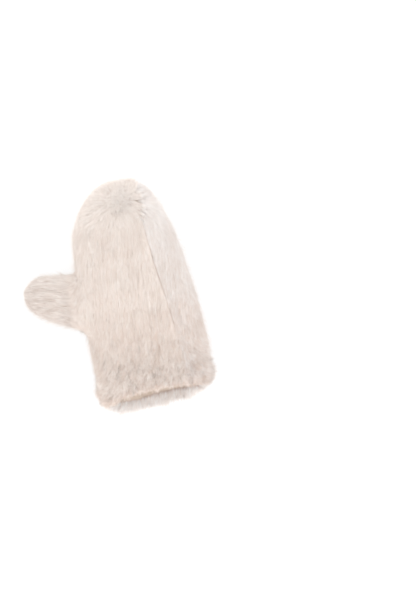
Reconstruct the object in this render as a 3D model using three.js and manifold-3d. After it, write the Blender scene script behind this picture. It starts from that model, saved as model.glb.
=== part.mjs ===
// A fur mitten lying on its palm side. A back panel and a palm panel of pile fabric are sewn
// together round the thumb-side edge and along a slanting seam on the back, and a thumb stall
// is set into the side. Each panel is one wall: the backing and the pile that stands on it,
// with the outer face worked into leaning locks of fur. The hand and thumb hollows are open
// at the cuff. Millimetres, +Z up, +Y from the cuff to the fingertips, thumb towards -X.
import * as THREE from "three";
import { mergeVertices } from "three/addons/utils/BufferGeometryUtils.js";
import Module from "manifold-3d";

const wasm = await Module();
wasm.setup();

// Colours of the pile on each piece.
const BACK_COLOUR = 0xeadfd6;
const PALM_COLOUR = 0xe0d2c6;
const THUMB_COLOUR = 0xe5d9cf;

// Seams: the pieces are parted by a narrow gap, and the pile sinks towards the seam on the back.
const SEAM_GAP = 0.4;
const SEAM_SINK = 2.6;
const SEAM_SINK_REACH = 5;
const SEAM_STEPS = 24;
const EDGE_SEAM_HEIGHT = 17;
const ABOVE_ALL = 90;
const BEYOND_ALL = 320;

// Locks of fur: how far a tip stands above the pile and the roots between tips lie below it,
// how far a tip leans along the nap and sways across it, and how uneven the locks are.
const LOCK_RISE = 1.9;
const LOCK_HOLLOW = 1.5;
const LOCK_LEAN = 5;
const LOCK_SWAY = 1.6;
const LOCK_UNEVEN = 0.4;
const RING_STEP = 7.2;
const HAND_COLUMNS = 57;
const THUMB_COLUMNS = 36;

// The net of the hollows is coarser, because the backing inside is smooth.
const HOLLOW_STEP = 17;
const HOLLOW_COLUMNS = 24;

// How finely a table and a section are followed before points are spread evenly along them,
// how near two points are to be one, and the numbers that scatter the locks' irregularity.
const SAMPLES_PER_ROW = 24;
const SAMPLES_ROUND = 360;
const SAME_POINT = 1e-4;
const SCATTER = { perColumn: 127.1, perRing: 311.7, spread: 43758.5453 };

// The cuff: the wall ends in a round lip, the upper lip stands back from the lower one,
// and the whole edge slants.
const LIP_RADIUS = 5.5;
const LIP_STEPS = 3;
const LIP_LEAN = 0.27;
const LIP_LEAN_HEIGHT = 19;
const CUFF_SLANT = 0.08;
const CUFF_REACH = 55;

// A shallow dent near the fingertips where the pile parts.
const DENT = { x: -9, y: 225, radius: 15, depth: 3.2 };

// The seam on the back, from the cuff to the fingertips.
const BACK_SEAM = [
  { x: 35, y: -40 },
  { x: 35, y: 22 },
  { x: 34, y: 50 },
  { x: 31.5, y: 74 },
  { x: 25.5, y: 112 },
  { x: 19.5, y: 145 },
  { x: 13.5, y: 184 },
  { x: 10.5, y: 218 },
  { x: 5, y: 240 },
  { x: 3, y: 300 },
];

// The cut across the root of the thumb, just outside the edge of the hand.
const THUMB_CUT = { nearX: -69.5, nearY: 62, farX: -73.5, farY: 172 };

// Outer form of the hand, from the cuff to the fingertips. Low and high are the thumb-side and
// little-finger edges. A base below zero is pressed flat on the surface that it lies on.
const HAND_FORM = [
  { along: 5.5, low: -62.5, high: 63, base: -0.5, top: 39.5 },
  { along: 25, low: -64.5, high: 64.5, base: -2.4, top: 42.5 },
  { along: 45, low: -65.5, high: 65.5, base: -2.4, top: 41 },
  { along: 65, low: -66, high: 65.5, base: -2.4, top: 41.5 },
  { along: 85, low: -67, high: 64, base: -2.4, top: 44 },
  { along: 103, low: -68, high: 62, base: -2.4, top: 45.5 },
  { along: 119, low: -69, high: 60, base: -2.4, top: 44 },
  { along: 138, low: -70, high: 56.5, base: -2.4, top: 46 },
  { along: 160, low: -70, high: 52.5, base: -2.4, top: 44.5 },
  { along: 182, low: -69, high: 47.5, base: -2.4, top: 42 },
  { along: 202, low: -64.5, high: 40.5, base: -1.4, top: 39.5 },
  { along: 220, low: -54, high: 32.5, base: 0, top: 37 },
  { along: 233, low: -43, high: 23.5, base: 2.5, top: 33.5 },
  { along: 241.5, low: -31, high: 12, base: 7, top: 28.5 },
  { along: 245, low: -9.5, high: -8.5, base: 17, top: 18 },
];

// The hollow for the hand, from outside the cuff to the fingertips.
const HAND_HOLLOW = [
  { along: -24, low: -62, high: 62, base: 0, top: 38 },
  { along: -8, low: -57, high: 57, base: 4, top: 33 },
  { along: 4, low: -51, high: 51.5, base: 9.5, top: 28.5 },
  { along: 18, low: -51, high: 51.5, base: 10.5, top: 29 },
  { along: 60, low: -53, high: 52.5, base: 10.5, top: 29.5 },
  { along: 100, low: -55, high: 49.5, base: 10.5, top: 33 },
  { along: 140, low: -57, high: 43.5, base: 10.5, top: 33.5 },
  { along: 180, low: -56, high: 35.5, base: 10.5, top: 30 },
  { along: 203, low: -51, high: 27.5, base: 11, top: 27.5 },
  { along: 220, low: -41, high: 18.5, base: 12, top: 24.5 },
  { along: 231, low: -24, high: 5, base: 14.5, top: 21.5 },
  { along: 233.5, low: -10, high: -8, base: 17.5, top: 18.5 },
];

// Outer form of the thumb, from inside the hand to the thumb's tip. Along runs towards -X.
const THUMB_FORM = [
  { along: 38, low: 80, high: 150, base: 0, top: 37 },
  { along: 60, low: 83, high: 151, base: -1.2, top: 38.5 },
  { along: 76, low: 87.5, high: 152, base: -1.4, top: 38 },
  { along: 92, low: 95, high: 153.5, base: -1.4, top: 36.5 },
  { along: 105, low: 101, high: 154, base: -1.2, top: 35 },
  { along: 115, low: 107, high: 152, base: 0, top: 33 },
  { along: 122.5, low: 114.5, high: 146.5, base: 3, top: 29.5 },
  { along: 127, low: 123, high: 139, base: 8, top: 24.5 },
  { along: 128.5, low: 130.5, high: 131.5, base: 16, top: 17 },
];

// The hollow for the thumb, opening into the hollow for the hand.
const THUMB_HOLLOW = [
  { along: 26, low: 96, high: 138, base: 12, top: 27 },
  { along: 50, low: 95, high: 139.5, base: 11, top: 28 },
  { along: 72, low: 100, high: 140.5, base: 10.5, top: 28 },
  { along: 92, low: 107.5, high: 141.5, base: 10.5, top: 26.5 },
  { along: 106, low: 114.5, high: 141, base: 12, top: 24.5 },
  { along: 114, low: 122, high: 138, base: 14.5, top: 21.5 },
  { along: 117, low: 130.5, high: 131.5, base: 17, top: 18 },
];

// How square the outline of a section is, above and below its widest line. 2 is an ellipse.
const FORM_SHAPE = { upper: 2.35, lower: 2.9, waist: 0.42 };
const HOLLOW_SHAPE = { upper: 2.3, lower: 2.3, waist: 0.5 };

const clamp = THREE.MathUtils.clamp;

// From 0 at the start to 1 at the end, levelling off at both.
function ease(value, start, end) {
  return THREE.MathUtils.smoothstep(value, start, end);
}

// A repeatable irregularity between -1 and 1 for the lock at a column and ring.
function uneven(column, ring) {
  const phase = column * SCATTER.perColumn + ring * SCATTER.perRing;
  const wave = Math.sin(phase) * SCATTER.spread;
  return 2 * (wave - Math.floor(wave)) - 1;
}

// One row of a table, read at a place between its rows on a smooth curve through them.
function sectionAt(rows, place) {
  const last = rows.length - 1;
  const index = Math.min(Math.floor(place), last - 1);
  const part = place - index;
  const section = {};
  for (const name of Object.keys(rows[0])) {
    const [before, from, to, after] = [-1, 0, 1, 2].map(
      (step) => rows[clamp(index + step, 0, last)][name],
    );
    const enter = (to - before) / 2;
    const leave = (after - from) / 2;
    section[name] =
      from +
      part * enter +
      part * part * (3 * (to - from) - 2 * enter - leave) +
      part * part * part * (2 * (from - to) + enter + leave);
  }
  return section;
}

// Places between the rows of a table that lie equally far apart along the form's outline.
function evenPlaces(rows, step) {
  const fine = SAMPLES_PER_ROW * (rows.length - 1);
  const reached = [0];
  let previous = sectionAt(rows, 0);
  for (let i = 1; i <= fine; i++) {
    const next = sectionAt(rows, i / SAMPLES_PER_ROW);
    const widening = (next.high - next.low - previous.high + previous.low) / 2;
    reached.push(reached[i - 1] + Math.hypot(next.along - previous.along, widening));
    previous = next;
  }
  const count = Math.round(reached[fine] / step);
  const places = [];
  let i = 0;
  for (let k = 0; k < count; k++) {
    const wanted = (reached[fine] * k) / count;
    while (reached[i + 1] < wanted) i++;
    const part = (wanted - reached[i]) / (reached[i + 1] - reached[i]);
    places.push((i + part) / SAMPLES_PER_ROW);
  }
  return places;
}

// Points equally far apart round one section, each with its outward direction.
function ringOf(section, shape, columns, turn) {
  const middle = (section.low + section.high) / 2;
  const halfWidth = (section.high - section.low) / 2;
  const waist = section.base + (section.top - section.base) * shape.waist;
  const outline = [];
  for (let i = 0; i < SAMPLES_ROUND; i++) {
    const angle = (2 * Math.PI * i) / SAMPLES_ROUND + Math.PI;
    const up = Math.sin(angle) > 0;
    const power = 2 / (up ? shape.upper : shape.lower);
    const height = up ? section.top - waist : waist - section.base;
    const across = Math.sign(Math.cos(angle)) * Math.abs(Math.cos(angle)) ** power;
    const rise = Math.sign(Math.sin(angle)) * Math.abs(Math.sin(angle)) ** power;
    outline.push(new THREE.Vector2(middle + halfWidth * across, waist + height * rise));
  }
  const reached = [0];
  for (let i = 0; i < SAMPLES_ROUND; i++) {
    reached.push(reached[i] + outline[i].distanceTo(outline[(i + 1) % SAMPLES_ROUND]));
  }
  const ring = [];
  let i = 0;
  for (let k = 0; k < columns; k++) {
    const wanted = (reached[SAMPLES_ROUND] * (k + turn)) / columns;
    while (reached[i + 1] < wanted) i++;
    const from = outline[i];
    const to = outline[(i + 1) % SAMPLES_ROUND];
    const part = (wanted - reached[i]) / (reached[i + 1] - reached[i]);
    const point = from.clone().lerp(to, part);
    const along = to.clone().sub(from).normalize();
    ring.push({ point, outward: new THREE.Vector2(along.y, -along.x) });
  }
  return ring;
}

// Closes rings of points into one geometry, with a middle point at each end.
function skinRings(rings, startPoint, endPoint) {
  const columns = rings[0].length;
  const positions = [startPoint, ...rings.flat(), endPoint].flatMap((p) => p.toArray());
  const index = [];
  const at = (ring, column) => 1 + ring * columns + (column % columns);
  const lastRing = rings.length - 1;
  for (let column = 0; column < columns; column++) {
    index.push(0, at(0, column), at(0, column + 1));
    index.push(at(lastRing, column + 1), at(lastRing, column), 1 + columns * rings.length);
    for (let ring = 0; ring < lastRing; ring++) {
      const near = [at(ring, column), at(ring, column + 1)];
      const far = [at(ring + 1, column), at(ring + 1, column + 1)];
      if (ring % 2) {
        index.push(near[0], far[1], near[1], near[0], far[0], far[1]);
      } else {
        index.push(near[0], far[0], near[1], near[1], far[0], far[1]);
      }
    }
  }
  const geometry = new THREE.BufferGeometry();
  geometry.setAttribute("position", new THREE.Float32BufferAttribute(positions, 3));
  geometry.setIndex(index);
  return geometry;
}

// A form lofted through a table. Where it has locks, every third point of the staggered net is
// the tip of a lock, and its six neighbours are the roots round it.
function loft(rows, { shape, columns, step, place, locks = false, lip = false, sink = () => 0 }) {
  const sections = evenPlaces(rows, step).map((where) => ({
    ...sectionAt(rows, where),
    inset: 0,
  }));
  if (lip) {
    for (let k = 1; k <= LIP_STEPS; k++) {
      const angle = (Math.PI / 2) * (k / LIP_STEPS);
      sections.unshift({
        ...rows[0],
        along: rows[0].along - LIP_RADIUS * Math.sin(angle),
        inset: LIP_RADIUS * (1 - Math.cos(angle)),
      });
    }
  }
  const rings = sections.map((section, ring) =>
    ringOf(section, shape, columns, ring % 2 ? 0.5 : 0).map(({ point, outward }, column) => {
      const isTip = (column + 2 * ring - Math.floor(ring / 2)) % 3 === 0;
      const inner = ring > 0 && ring < sections.length - 2;
      let lift = -section.inset;
      let lean = 0;
      let sway = 0;
      if (locks && inner && isTip) {
        const size = 1 + LOCK_UNEVEN * uneven(column, ring);
        lift += LOCK_RISE * size;
        lean = LOCK_LEAN * size;
        sway = LOCK_SWAY * uneven(ring, column);
      } else if (locks && inner) {
        lift -= LOCK_HOLLOW * (1 - section.inset / LIP_RADIUS);
      }
      const across = point.x + outward.x * lift - outward.y * sway;
      const height = point.y + outward.y * lift + outward.x * sway;
      const placed = place(across, section.along - lean, height);
      placed.z -= outward.y > 0 ? sink(placed) : 0;
      return placed;
    }),
  );
  const endOf = (section) =>
    place(
      (section.low + section.high) / 2,
      section.along,
      section.base + (section.top - section.base) * shape.waist,
    );
  return skinRings(rings, endOf(sections[0]), endOf(rows[rows.length - 1]));
}

// The hand runs along +Y. Towards the cuff its sections slant and lean.
function placeHand(across, along, height) {
  const share = 1 - ease(along, 0, CUFF_REACH);
  const shift = CUFF_SLANT * across + LIP_LEAN * (height - LIP_LEAN_HEIGHT);
  return new THREE.Vector3(across, along + share * shift, height);
}

// The thumb runs along -X.
function placeThumb(across, along, height) {
  return new THREE.Vector3(-along, across, height);
}

// The seam on the back as a smooth line in plan.
const seamLine = new THREE.SplineCurve(BACK_SEAM.map(({ x, y }) => new THREE.Vector2(x, y)));
const seamPoints = seamLine.getPoints(SEAM_STEPS);

// How far the pile of the back lies below its form, at the seam and in the dent.
function sinkOfBack(point) {
  const flat = new THREE.Vector2(point.x, point.y);
  const fromSeam = Math.min(...seamPoints.map((p) => p.distanceTo(flat)));
  const fromDent = flat.distanceTo(new THREE.Vector2(DENT.x, DENT.y));
  return (
    SEAM_SINK * (1 - ease(fromSeam, 0, SEAM_SINK_REACH)) +
    DENT.depth * (1 - ease(fromDent, 0, DENT.radius))
  );
}

// A closed geometry as a solid that can be joined and cut.
function solidOf(geometry) {
  const bare = new THREE.BufferGeometry();
  bare.setAttribute("position", geometry.getAttribute("position"));
  bare.setIndex(geometry.index);
  const merged = mergeVertices(bare, SAME_POINT);
  return new wasm.Manifold(
    new wasm.Mesh({
      numProp: 3,
      vertProperties: merged.getAttribute("position").array,
      triVerts: new Uint32Array(merged.index.array),
    }),
  );
}

// A named mesh of a finished solid.
function meshOf(name, solid, colour) {
  const { numProp, numVert, vertProperties, triVerts } = solid.getMesh();
  const positions = new Float32Array(numVert * 3);
  for (let i = 0; i < numVert; i++) {
    positions.set(vertProperties.subarray(i * numProp, i * numProp + 3), i * 3);
  }
  const geometry = new THREE.BufferGeometry();
  geometry.setAttribute("position", new THREE.BufferAttribute(positions, 3));
  geometry.setIndex(new THREE.BufferAttribute(triVerts, 1));
  geometry.computeVertexNormals();
  const material = new THREE.MeshStandardMaterial({ color: colour, roughness: 0.9, metalness: 0 });
  const mesh = new THREE.Mesh(geometry, material);
  mesh.name = name;
  return mesh;
}

// An upright prism over an outline in plan, as a cutting solid.
function prism(corners, bottom) {
  const shape = new THREE.Shape(corners.map(([x, y]) => new THREE.Vector2(x, y)));
  const geometry = new THREE.ExtrudeGeometry(shape, {
    depth: ABOVE_ALL - bottom,
    bevelEnabled: false,
  });
  geometry.deleteAttribute("normal");
  geometry.deleteAttribute("uv");
  geometry.translate(0, 0, bottom);
  return solidOf(mergeVertices(geometry, SAME_POINT));
}

// All that lies over the edge seam and on the thumb side of the seam on the back.
function overBack(gap) {
  const seam = seamPoints.map((p) => [p.x + gap, p.y]);
  return prism(
    [[-BEYOND_ALL, seam[0][1]], ...seam, [-BEYOND_ALL, seam.at(-1)[1]]],
    EDGE_SEAM_HEIGHT - gap,
  );
}

// All that lies on the thumb's side of the cut across its root.
function overThumb(gap) {
  const { nearX, nearY, farX, farY } = THUMB_CUT;
  return prism(
    [[-BEYOND_ALL, nearY], [nearX + gap, nearY], [farX + gap, farY], [-BEYOND_ALL, farY]],
    -ABOVE_ALL,
  );
}

const handForm = solidOf(
  loft(HAND_FORM, {
    shape: FORM_SHAPE,
    columns: HAND_COLUMNS,
    step: RING_STEP,
    place: placeHand,
    locks: true,
    lip: true,
    sink: sinkOfBack,
  }),
);
const thumbForm = solidOf(
  loft(THUMB_FORM, {
    shape: FORM_SHAPE,
    columns: THUMB_COLUMNS,
    step: RING_STEP,
    place: placeThumb,
    locks: true,
  }),
);
const hollow = solidOf(
  loft(HAND_HOLLOW, {
    shape: HOLLOW_SHAPE,
    columns: HOLLOW_COLUMNS,
    step: HOLLOW_STEP,
    place: placeHand,
  }),
).add(
  solidOf(
    loft(THUMB_HOLLOW, {
      shape: HOLLOW_SHAPE,
      columns: HOLLOW_COLUMNS,
      step: HOLLOW_STEP,
      place: placeThumb,
    }),
  ),
);

// The mitten lies on the plane z = 0, where its pile is pressed flat.
const onFloor = (solid) => solid.trimByPlane([0, 0, 1], 0);
const hand = onFloor(handForm.add(thumbForm)).subtract(hollow).subtract(overThumb(SEAM_GAP));
const back = hand.intersect(overBack(0));
const palm = hand.subtract(overBack(SEAM_GAP));
const thumb = onFloor(thumbForm).intersect(overThumb(0)).subtract(hollow);

const mitten = new THREE.Group();
mitten.add(meshOf("back_panel", back, BACK_COLOUR));
mitten.add(meshOf("palm_panel", palm, PALM_COLOUR));
mitten.add(meshOf("thumb", thumb, THUMB_COLOUR));

// The origin is the middle of the base of the whole mitten.
const bounds = new THREE.Box3().setFromObject(mitten);
const middle = bounds.getCenter(new THREE.Vector3());
mitten.position.set(-middle.x, -middle.y, -bounds.min.z);

export default mitten;
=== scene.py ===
import math

import bmesh
import bpy
import numpy as np
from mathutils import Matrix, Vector
from mathutils.bvhtree import BVHTree
from mathutils.kdtree import KDTree


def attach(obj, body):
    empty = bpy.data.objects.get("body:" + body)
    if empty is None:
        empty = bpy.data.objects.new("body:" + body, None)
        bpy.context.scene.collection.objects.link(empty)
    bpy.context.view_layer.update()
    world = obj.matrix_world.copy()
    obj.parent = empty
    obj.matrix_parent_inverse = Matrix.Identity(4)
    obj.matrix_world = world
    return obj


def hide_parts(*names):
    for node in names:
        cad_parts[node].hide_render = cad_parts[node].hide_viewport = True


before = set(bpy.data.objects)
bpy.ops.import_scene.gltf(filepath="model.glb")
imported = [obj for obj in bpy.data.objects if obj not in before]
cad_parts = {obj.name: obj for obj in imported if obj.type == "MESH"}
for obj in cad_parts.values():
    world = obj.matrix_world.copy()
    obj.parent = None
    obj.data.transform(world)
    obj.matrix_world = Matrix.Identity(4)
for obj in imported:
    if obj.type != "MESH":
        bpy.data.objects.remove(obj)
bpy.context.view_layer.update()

MM = 0.001
TINY = 1e-12
UP = np.array((0.0, 0.0, 1.0))

# The view: straight down on the mitten, which leans to the left in the picture.
LEAN = math.radians(8.3)
VIEW_CENTRE = (101.9 * MM, -15.0 * MM)
VIEW_HEIGHT = 660 * MM
VIEW_LEVEL = 18 * MM
LENS_MM = 100
SENSOR_MM = 36

# The studio: a floor of glowing white paper, even light all round, and two soft lamps.
FLOOR_SIZE = 8
PAPER_GREY = 0.2
PAPER_GLOW = 0.80
SKY_STRENGTH = 1.31
LAMP_SIZE = 1.2
LAMPS = {
    "front": {"place": (0.3, -1.6, 1.1), "power": 9},
    "back": {"place": (-0.3, 1.6, 1.3), "power": 5},
}

# Where the panels meet, in plan. The back panel lies over the edge seam and left of this line.
SEAM = np.array((
    (65.5, -155.8), (65.5, -93.8), (64.5, -65.8), (62.0, -41.8), (56.0, -3.8),
    (50.0, 29.2), (44.0, 68.2), (41.0, 102.2), (35.5, 124.2), (33.5, 184.2),
)) * MM
EDGE_SEAM_HEIGHT = 17 * MM
THUMB_CUT_NEAR = np.array((-39.0, -53.8)) * MM
THUMB_CUT_FAR = np.array((-43.0, 56.2)) * MM
THUMB_ROOT_ENDS = (-36 * MM, 40 * MM)
SEAM_GAP = 0.4 * MM
SEAM_STEP = 4 * MM
BEYOND = 200 * MM
ABOVE_ALL = 90 * MM

# How far the pile reaches at the cuff, in plan: on the upper lip, and on the lower one below it.
# The pile's lips pass from one to the other between two heights.
UPPER_LIP = np.array((
    (-36.0, -107.5), (-21.4, -111.5), (-12.0, -109.2), (-4.3, -106.8), (24.0, -103.8),
    (54.0, -101.8), (68.0, -103.2), (85.9, -101.5), (98.0, -97.0),
)) * MM
LOWER_LIP = np.array((
    (-36.5, -99.0), (-34.5, -108.0), (-31.0, -114.0), (-25.0, -119.5), (-16.0, -123.5),
    (-9.5, -124.8), (30.5, -120.8), (75.5, -116.8), (90.5, -107.8), (98.0, -98.0),
)) * MM
LIP_HEIGHTS = (14 * MM, 34 * MM)
UPPER_LIP_HEIGHT = 20 * MM

# The dent and the whorl near the fingertips, and the rough stretch along the seam's top end.
DENT = np.array((21.0, 105.0)) * MM
DENT_REACH = (15 * MM, 4 * MM)
WHORL = np.array((21.0, 106.0, 36.0)) * MM
WHORL_CORE = 7.0 * MM
WHORL_EDGE = 11 * MM
FRAYED_REACH = 3 * MM
FRAYED_ENDS = (80 * MM, 118 * MM)
FRAYED_FADE = 6 * MM

# The cuff's pile is ruffled. It changes over this stretch from the combed pile of the hand.
RUFFLE_START = -10 * MM
RUFFLE_END = -110 * MM

# The hide: how far it lies below the top of the pile, less beside the seam and in the lower
# lip, and how thin it may get. It stays above the floor and behind the ends of the pile.
PILE_DEPTH = 4.2 * MM
CUFF_PILE_DEPTH = 6.2 * MM
SEAM_RIDGE = 0.7
SEAM_RIDGE_REACH = 3 * MM
FIRM_LIP = 0.8
FIRM_REACH = (26 * MM, 12 * MM)
FIRM_HEIGHTS = (20 * MM, 12 * MM)
LEAST_HIDE = 3.0 * MM
ABOVE_FLOOR = 1.4 * MM
LIP_BARE = 4.0 * MM
LOWER_LIP_BARE = 6.5 * MM

# How the hide is made: how near corners are welded, its voxels, and how often it and what is
# worked out on it are smoothed. Rays into the wall start OFF_SURFACE below its face.
WELD = 0.001 * MM
VOXEL = 2.4 * MM
SMOOTH_PASSES = 14
LAST_SMOOTH_PASSES = 3
SHARE_PASSES = 3
DEPTH_PASSES = 2
OFF_SURFACE = 0.05 * MM

# How free the view from a place on the hide must be for pile to stand on it. Directions count
# where the cosine of their angle to the surface's normal is more than IN_FRONT.
RAYS = 26
CLEAR_WAY = 0.5
IN_FRONT = 0.2
ENCLOSED = 0.35
OPEN = 0.75

# The lower lip's inner face carries pile where it shows this far past the upper lip, a little
# sooner at its left corner and later where the mouth is darkest, which leaves more of the dark
# suede bare there as painted shade.
SHOWN_LIP = (-7 * MM, -11 * MM)
LEFT_CORNER = (25 * MM, -10 * MM)
LEFT_FULLER = 3 * MM
MOUTH_DARKEST = 38 * MM
MOUTH_DARK_SPAN = 14 * MM
MOUTH_DARK_DEPTH = 2.5 * MM

# How many ribbons there are in all, and how dense they stand: less underneath, more at the
# whorl and the cuff, and none on faces that are more enclosed than BARE_BELOW.
RIBBONS = 290_000
BUNCH = 60_000
SEED = 13
BARE_BELOW = 0.2
UNDERSIDE_SHARE = 0.30
UNDERSIDE_FACING = (0.3, 0.8)
WHORL_DENSER = 3.0
CUFF_DENSER = 0.4

# A smooth irregularity is the sum of this many waves. Their rates lie between these two shares
# of the one that its size gives.
WAVES = 9
WAVE_RATES = (0.6, 1.5)

# Which way the pile is combed, in plan, and how strongly it fans out at the ends of the cuff.
HAND_SLANT = 0.10
THUMB_SLANT = 0.17
WHORL_ROWS = (55 * MM, 104 * MM)
TOP_FACING = (-0.5, 0.0)
RIGHT_FAN = {"most": 2.2, "rows": (-20 * MM, -95 * MM), "from_seam": (0 * MM, 24 * MM)}
LEFT_FAN = {"most": 1.6, "rows": (-45 * MM, -105 * MM), "across": (12 * MM, -28 * MM)}
THUMB_ROOT_FADE = 6 * MM
THUMB_ROOT_ACROSS = (9 * MM, -4 * MM)

# The seam on the back: where the pile runs along it, where it fades out at the fingertips and
# breaks up at the cuff, and how wide the strip of short fuzz in it is, widest at SEAM_DEEPEST.
SEAM_BESIDE = (6 * MM, 1.5 * MM)
SEAM_FADES = (78 * MM, 96 * MM)
SEAM_BREAKS = (-15 * MM, -100 * MM)
SEAM_BROKEN = 0.55
SEAM_FUZZ = 0.5 * MM
SEAM_DEEPEST = 28 * MM
SEAM_DEEP_SPAN = 16 * MM
SEAM_DEEPER = 0.7
SEAM_CALM = 3 * MM
SEAM_CALMER = 0.4

# The tufts are cells, long and narrow along the nap and warped so that they don't line up. Cells
# are split by which way the hide faces, in steps, and are shorter at the cuff and in the dent.
TUFT_SIZE = np.array((1.15, 10, 1.15)) * MM
CUFF_TUFT_SIZE = np.array((0.9, 5, 0.9)) * MM
CUFF_TUFTS = -62 * MM
CUFF_TUFTS_SWING = 8 * MM
CUFF_TUFTS_WAVE = 20 * MM
DENT_TUFTS = 0.25
TIP_TUFTS = 82 * MM
TIP_FACING = -0.3
THUMB_TUFTS = 3 * MM
WHORL_RADIUS = 30 * MM
WHORL_TUFT_RATE = 2
TUFT_WARP = (0.35, 0.8, 0.35)
TUFT_WARP_SIZE = 16 * MM
TUFT_FACINGS = 1.2

# The pile, where it is combed flat and where it is ruffled: a hair's length, how steeply it
# leaves the hide against how far it follows the nap, how steep its end is, how far it strays
# and how far a tuft is drawn together.
COMBED = {
    "length": 11 * MM, "lift": 0.50, "nap": 1.0, "tip_lift": 0.05, "stray": 0.05, "gather": 0.20,
}
RUFFLED = {
    "length": 12.5 * MM, "lift": 0.95, "nap": 0.6, "tip_lift": 0.30, "stray": 0.42, "gather": 0.30,
}
WHORL_RUFFLE = 0.4
LOWER_LIP_RUFFLE = 0.25
DENT_LOOSER = 0.9
WHORL_LOOSER = 0.7
DENT_UNCOMBED = 0.7
SIDE_LIFT = 0.45
SIDE_FACING = (0.3, 0.9)

# The lower lip, inside the mouth and along its own edge: the middle of the hollow, which the
# inside faces, and how far each of the two reaches from the cuff's end.
HOLLOW_AXIS = (30.5 * MM, 18 * MM)
AXIS_FACING = 0.2
MOUTH_END = -90 * MM
LOW_EDGE_END = -105 * MM
LOW_FACING = -0.3

# Guard hairs are thinner, longer and looser than the rest.
GUARD_SHARE = 0.13
GUARD_WIDTH = 0.5
GUARD_LOOSE_POWER = 1.3
GUARD_LONGER = 0.4
RIBBON_WIDTH = 0.36 * MM

# How the pile's direction wanders, in wide waves, in the cuff's narrower ones, from tuft to
# tuft and from hair to hair.
DRIFT = {"hand": 0.10, "cuff": 0.30, "frayed": 0.5, "loose": 0.30, "dent": 0.25}
DRIFT_SIZE = 30 * MM
CUFF_DRIFT_SIZE = 16 * MM
DRIFT_FLAT = 0.6
ROOT_DRIFT = 0.6
ROOT_LOOSE_LIFT = 0.6
TIP_LOOSE_LIFT = 1.0
LEAST_LIFT = 1e-3

# How high a hair may rise, as a share of the pile's depth, and what adds to it or takes from it.
RISE = {"hand": 1.05, "ruffle": -0.1, "loose": 1.3, "lower_lip": 1.1}
RISE_UNEVEN = {"ruffle": 0.5, "side": 0.3}
RISE_UNDER_THUMB = 0.9
RISE_BESIDE_HAND = 0.5
HAND_SIDE_FACING = (0.4, 0.9)
LEAST_RISE = 0.1
LEAST_SHARE = 0.4
LIP_SPREAD_ROWS = (-102 * MM, -116 * MM)
LIP_SPREAD_FACING = (-0.8, -0.4)

# How much longer or shorter hairs are in the mouth, in the seam and at the thumb's tip, and how
# the lengths differ from hair to hair and, at the cuff, from tuft to tuft.
IN_MOUTH_LENGTH = 1.5
FUZZ_LENGTH = 0.6
THUMB_TIP = (-80 * MM, -94 * MM)
THUMB_TIP_CLIP = 0.25
LENGTHS = (0.75, 1.15)
CUFF_RAGGED = 0.20
RAGGED_LIMITS = (0.55, 1.4)

# How the fringe ends at the lips: how far its hairs stray past them, how many end sooner, and
# how uneven its outline is.
LIP_STRAYS = 3.0 * MM
LOWER_LIP_STRAYS = 7.5 * MM
LIP_FRINGE = 2.5 * MM
LOWER_LIP_FRINGE = 10.0 * MM
FRINGE_POWER = 0.4
UNDERSIDE_SHORT = 4 * MM
LIP_UNEVEN = 3.5 * MM
UNEVEN_WAVES = 0.7
UNEVEN_TUFTS = 0.9
UNEVEN_SIZE = 9 * MM
LEAST_LENGTH = 0.3

# How far each tuft is drawn together, how high its hairs stay above the floor, and how the
# ribbons turn to face out and up.
GATHERS = (0.5, 1.3)
MIDDLE_GATHER = 0.45
ON_FLOOR = 0.3 * MM
ON_FLOOR_SPREAD = (0.5, 3)
UP_FACING = 0.6
UP_FACING_SPAN = (-0.5, 0.1)
FACING_UNEVEN = 0.25

# How light a hair is, from 0 to 1: on the hand, and what each region adds to that. Some of it is
# painted light and shade: lighter in creases, darker towards the cuff, at both lips, and on the thumb.
TONE = {
    "hand": 0.76, "clouds": 0.03, "frayed": 0.06, "near_cuff_painted_shade": -0.18, "crease_painted_light": 0.22,
    "fingers": 0.09, "ruffle": 0.13, "lower_lip": 0.04, "lip_end_painted_light": 0.38, "lip_right_painted_shade": -0.12,
    "upper_lip_painted_shade": -0.28, "thumb": -0.04, "thumb_tip": -0.12, "thumb_side_painted_light": 0.12,
    "right_of_seam": -0.05,
}
TONE_LIMITS = (0.01, 0.98)
CLOUD_SIZE = 24 * MM
NEAR_CUFF_SHADE = (15 * MM, -50 * MM)
FINGERS = (60 * MM, 105 * MM)
LIP_END_LIGHT = (14 * MM, 3 * MM)
LIP_RIGHT_SHADE = (0, 25 * MM)
UPPER_LIP_SHADE = (11 * MM, 4 * MM)
BELOW_FINGERS = (60 * MM, 0)

# How much the tone differs from tuft to tuft, and from hair to hair.
STREAKS = {"hand": 0.08, "ruffle": 0.12, "thumb": 0.08, "frayed": 0.10, "calm": -0.05}
HAIR_STREAKS = {"hand": 0.05, "ruffle": 0.08}
CALM_ROWS = (40 * MM, 90 * MM)

# How soon along a hair its root's colour gives way to its tip's, 1 being at its middle. A hair
# under SHORT_OF_TIP never gets its tip's colour in full. The map gives that colour in full from
# TIP_HEIGHT up.
# On the lower lip this paints shade and light: more root colour near the mouth and on its right, less
# towards the lip's end.
PALE = {
    "hand": 1.0, "ruffle": -0.4, "frayed": 0.6, "lower_lip": 1.4, "lip_right_painted_shade": -0.5,
    "lip_end_painted_light": 0.7, "fuzz": 0.42,
}
SHORT_OF_TIP = 0.5
TIP_HEIGHT = 0.5

# How the light falls on the pile: half by a ribbon's own face and half by the hide's, uneven
# from tuft to tuft, and as if the hairs that show from underneath, at the sides and past the
# lip, were turned up.
OWN_FACING = 0.5
SWAY = {"hand": 0.12, "ruffle": 0.16}
BY_LIP = (16 * MM, 9 * MM)
FLAT_UNDER = (0.97, 0.75)
LIP_OUTWARD = 0.4
MOUTH_UPWARD = 0.8

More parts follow.
